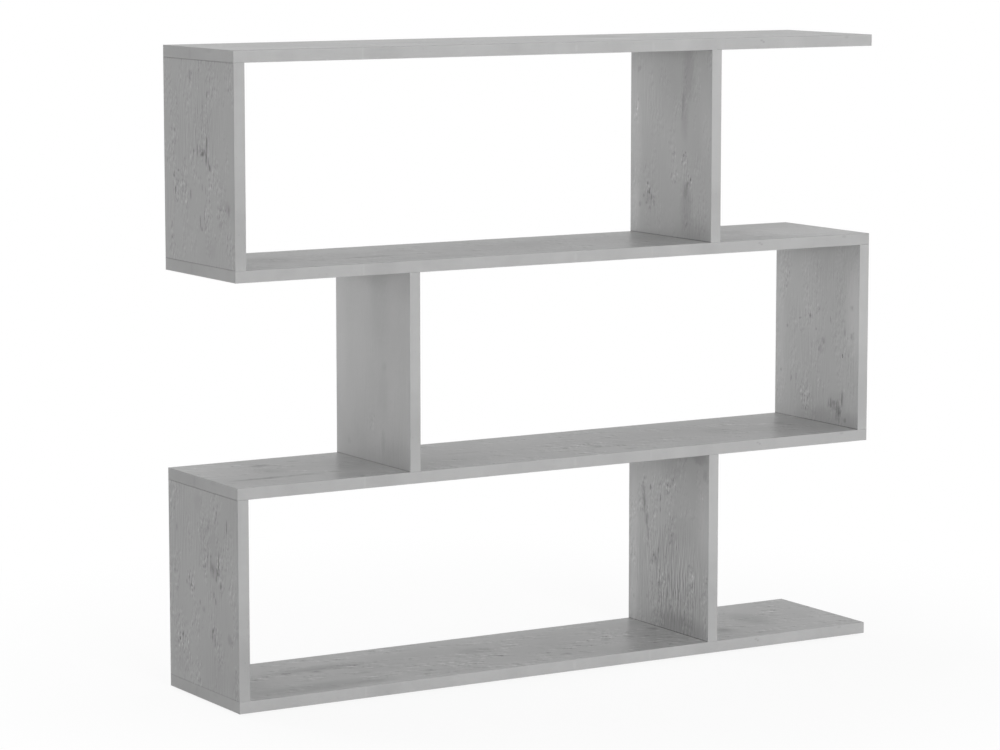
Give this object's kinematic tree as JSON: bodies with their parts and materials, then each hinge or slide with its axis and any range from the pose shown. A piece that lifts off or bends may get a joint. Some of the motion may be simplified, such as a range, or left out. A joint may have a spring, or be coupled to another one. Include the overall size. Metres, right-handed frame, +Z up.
{
  "type": "zigzag bookshelf",
  "caption": "Free-standing open bookshelf: full-width shelves joined by uprights that change sides from tier to tier, in grey concrete-look boards.",
  "frame": {"origin": "on the floor, midway along and midway across the shelves", "axes": "+X along the shelves to the right as seen from the front, +Y from front to back, +Z up"},
  "size_m": [1.1412, 0.23, 0.975],
  "materials": {
    "board": "chipboard faced with matt grey foil in a board-marked concrete decor",
    "edge_band": "satin grey edge band with a soft cloudy print",
    "zinc": "die-cast zinc, dull",
    "steel": "zinc-plated steel",
    "beech": "raw beech",
    "cap_plastic": "moulded grey plastic",
    "glide_plastic": "hard grey plastic, slightly glossy where it slides"
  },
  "bodies": {
    "root": {"bottom_shelf": "board", "lower_shelf": "board", "upper_shelf": "board", "top_shelf": "board", "bottom_left_side": "board", "bottom_right_divider": "board", "middle_left_divider": "board", "middle_right_side": "board", "top_left_side": "board", "top_right_divider": "board", "bottom_shelf_front_band": "edge_band", "bottom_shelf_back_band": "edge_band", "bottom_shelf_left_band": "edge_band", "bottom_shelf_right_band": "edge_band", "lower_shelf_front_band": "edge_band", "lower_shelf_back_band": "edge_band", "lower_shelf_left_band": "edge_band", "lower_shelf_right_band": "edge_band", "upper_shelf_front_band": "edge_band", "upper_shelf_back_band": "edge_band", "upper_shelf_left_band": "edge_band", "upper_shelf_right_band": "edge_band", "top_shelf_front_band": "edge_band", "top_shelf_back_band": "edge_band", "top_shelf_left_band": "edge_band", "top_shelf_right_band": "edge_band", "bottom_left_side_front_band": "edge_band", "bottom_left_side_back_band": "edge_band", "bottom_right_divider_front_band": "edge_band", "bottom_right_divider_back_band": "edge_band", "middle_left_divider_front_band": "edge_band", "middle_left_divider_back_band": "edge_band", "middle_right_side_front_band": "edge_band", "middle_right_side_back_band": "edge_band", "top_left_side_front_band": "edge_band", "top_left_side_back_band": "edge_band", "top_right_divider_front_band": "edge_band", "top_right_divider_back_band": "edge_band", "bottom_tier_cam_locks": "zinc", "bottom_tier_cam_bolts": "steel", "bottom_tier_dowels": "beech", "bottom_tier_cover_caps": "cap_plastic", "middle_tier_cam_locks": "zinc", "middle_tier_cam_bolts": "steel", "middle_tier_dowels": "beech", "middle_tier_cover_caps": "cap_plastic", "top_tier_cam_locks": "zinc", "top_tier_cam_bolts": "steel", "top_tier_dowels": "beech", "top_tier_cover_caps": "cap_plastic", "floor_glides": "glide_plastic", "glide_nails": "steel"}
  },
  "joints": []
}
